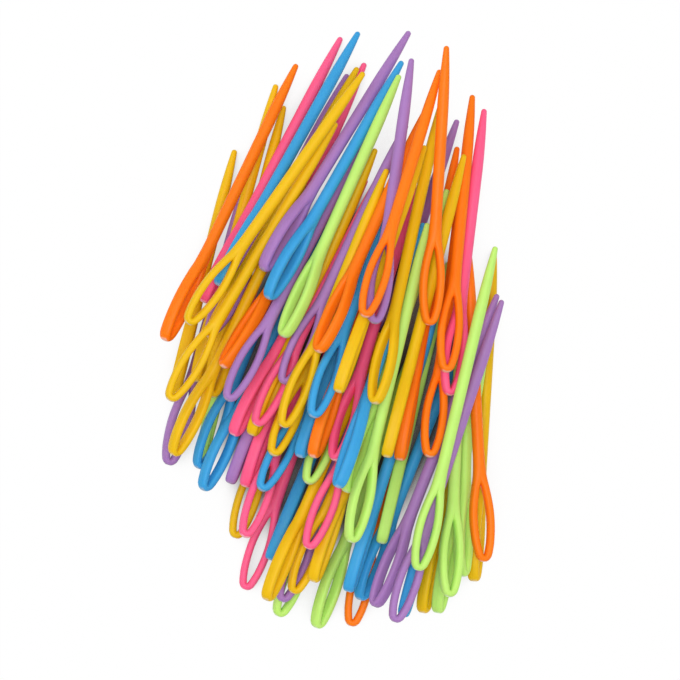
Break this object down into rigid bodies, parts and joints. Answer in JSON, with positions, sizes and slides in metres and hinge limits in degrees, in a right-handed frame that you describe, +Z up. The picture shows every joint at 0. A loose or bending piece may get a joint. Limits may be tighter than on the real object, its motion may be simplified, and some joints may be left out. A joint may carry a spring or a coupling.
{
  "type": "yarn needle heap",
  "caption": "Loose heap of blunt plastic yarn needles in six colours, each a round tapered shaft with a long leaf-shaped eye.",
  "frame": {"origin": "middle of the heap on the surface that it lies on", "axes": "+Z up from the surface, +Y the way most tips point, +X to the right seen from above"},
  "size_m": [0.1036, 0.18, 0.046],
  "materials": {
    "yellow_plastic": "satin moulded plastic",
    "orange_plastic": "satin moulded plastic",
    "pink_plastic": "satin moulded plastic",
    "purple_plastic": "satin moulded plastic",
    "blue_plastic": "satin moulded plastic",
    "lime_plastic": "satin moulded plastic"
  },
  "bodies": {
    "root": {"purple_needle_1": "purple_plastic", "orange_needle_1": "orange_plastic", "lower_lime_needles": "lime_plastic", "yellow_needle_1": "yellow_plastic", "lower_purple_needles": "purple_plastic", "lower_yellow_needles": "yellow_plastic", "blue_needle_1": "blue_plastic", "lower_blue_needles": "blue_plastic", "blue_needle_2": "blue_plastic", "lime_needle_1": "lime_plastic", "blue_needle_3": "blue_plastic", "pink_needle_1": "pink_plastic", "lower_pink_needles": "pink_plastic", "lime_needle_2": "lime_plastic", "lime_needle_3": "lime_plastic", "blue_needle_4": "blue_plastic", "pink_needle_2": "pink_plastic", "yellow_needle_2": "yellow_plastic", "orange_needle_2": "orange_plastic", "pink_needle_3": "pink_plastic", "purple_needle_2": "purple_plastic", "purple_needle_3": "purple_plastic", "blue_needle_5": "blue_plastic", "pink_needle_4": "pink_plastic", "yellow_needle_3": "yellow_plastic", "yellow_needle_4": "yellow_plastic", "lime_needle_4": "lime_plastic", "orange_needle_3": "orange_plastic", "lower_orange_needles": "orange_plastic", "yellow_needle_5": "yellow_plastic", "orange_needle_4": "orange_plastic", "pink_needle_5": "pink_plastic", "pink_needle_6": "pink_plastic", "yellow_needle_6": "yellow_plastic", "pink_needle_7": "pink_plastic", "purple_needle_4": "purple_plastic", "purple_needle_5": "purple_plastic", "pink_needle_8": "pink_plastic", "purple_needle_6": "purple_plastic", "blue_needle_6": "blue_plastic", "lime_needle_5": "lime_plastic", "orange_needle_5": "orange_plastic", "yellow_needle_7": "yellow_plastic", "orange_needle_6": "orange_plastic", "yellow_needle_8": "yellow_plastic", "blue_needle_7": "blue_plastic", "yellow_needle_9": "yellow_plastic", "blue_needle_8": "blue_plastic", "blue_needle_9": "blue_plastic", "yellow_needle_10": "yellow_plastic", "orange_needle_7": "orange_plastic", "purple_needle_7": "purple_plastic", "orange_needle_8": "orange_plastic"},
    "loose_lime_needle_6": {"lime_needle_6": "lime_plastic"},
    "loose_yellow_needle_11": {"yellow_needle_11": "yellow_plastic"},
    "loose_lime_needle_7": {"lime_needle_7": "lime_plastic"},
    "loose_orange_needle_9": {"orange_needle_9": "orange_plastic"}
  },
  "joints": [
    {"name": "lime_needle_6_lift", "type": "slide", "parent": "root", "child": "loose_lime_needle_6", "axis": [0, 0, 1], "range_m": [0, 0.04]},
    {"name": "yellow_needle_11_lift", "type": "slide", "parent": "root", "child": "loose_yellow_needle_11", "axis": [0, 0, 1], "range_m": [0, 0.04]},
    {"name": "lime_needle_7_lift", "type": "slide", "parent": "root", "child": "loose_lime_needle_7", "axis": [0, 0, 1], "range_m": [0, 0.04]},
    {"name": "orange_needle_9_lift", "type": "slide", "parent": "root", "child": "loose_orange_needle_9", "axis": [0, 0, 1], "range_m": [0, 0.04]}
  ]
}
